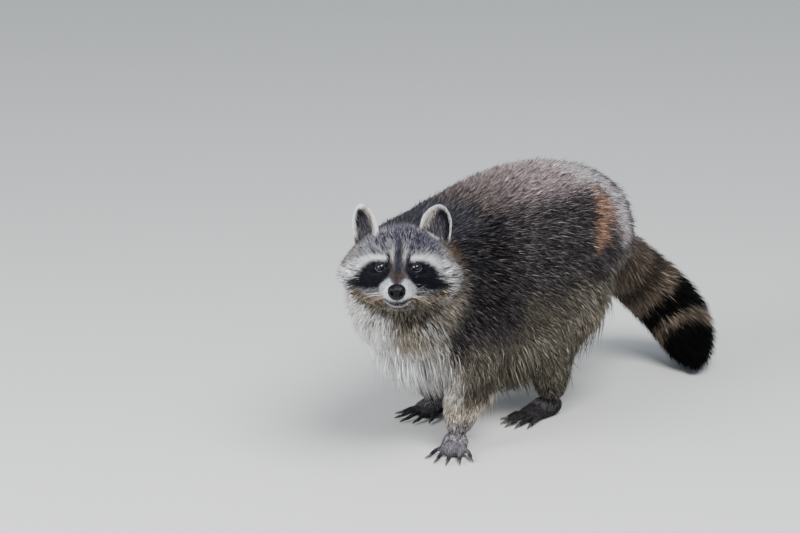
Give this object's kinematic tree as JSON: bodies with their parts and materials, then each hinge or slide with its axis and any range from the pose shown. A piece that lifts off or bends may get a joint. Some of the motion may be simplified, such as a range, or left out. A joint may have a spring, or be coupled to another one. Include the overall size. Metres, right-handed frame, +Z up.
{
  "type": "raccoon",
  "caption": "Life-size standing raccoon with its head turned to its left and its ringed tail hanging behind it, resting on the flats of its paws.",
  "frame": {"origin": "middle of the ground under the whole animal, at the centre of the bottom of its box", "axes": "+X forward along the trunk, +Y to the animal's left, +Z up"},
  "size_m": [0.6996, 0.241, 0.3297],
  "materials": {
    "body_coat": "long grizzled grey-brown fur, paler and shaggier under the body",
    "head_coat": "short dense fur with a black mask and white bars",
    "tail_coat": "bushy fur in dark and tan rings",
    "paw": "thin grey-brown hair lying flat over dark skin",
    "nose": "moist black pebbled skin",
    "eye": "wet gloss, dark brown",
    "claw": "smooth dark horn"
  },
  "bodies": {
    "root": {"head": "head_coat", "nose": "nose", "eye_left": "eye", "eye_right": "eye", "ear_left": "head_coat", "ear_right": "head_coat", "neck": "body_coat", "trunk": "body_coat", "tail_base": "tail_coat", "tail_middle": "tail_coat", "tail_tip": "tail_coat", "foreleg_upper_left": "body_coat", "foreleg_lower_left": "body_coat", "forepaw_left": "paw", "foreclaw_left_1": "claw", "foreclaw_left_2": "claw", "foreclaw_left_3": "claw", "foreclaw_left_4": "claw", "foreclaw_left_5": "claw", "foreleg_upper_right": "body_coat", "foreleg_lower_right": "body_coat", "forepaw_right": "paw", "foreclaw_right_1": "claw", "foreclaw_right_2": "claw", "foreclaw_right_3": "claw", "foreclaw_right_4": "claw", "foreclaw_right_5": "claw", "hindleg_upper_left": "body_coat", "hindleg_lower_left": "body_coat", "hindpaw_left": "paw", "hindclaw_left_1": "claw", "hindclaw_left_2": "claw", "hindclaw_left_3": "claw", "hindclaw_left_4": "claw", "hindclaw_left_5": "claw", "hindleg_upper_right": "body_coat", "hindleg_lower_right": "body_coat", "hindpaw_right": "paw", "hindclaw_right_1": "claw", "hindclaw_right_2": "claw", "hindclaw_right_3": "claw", "hindclaw_right_4": "claw", "hindclaw_right_5": "claw"}
  },
  "joints": []
}
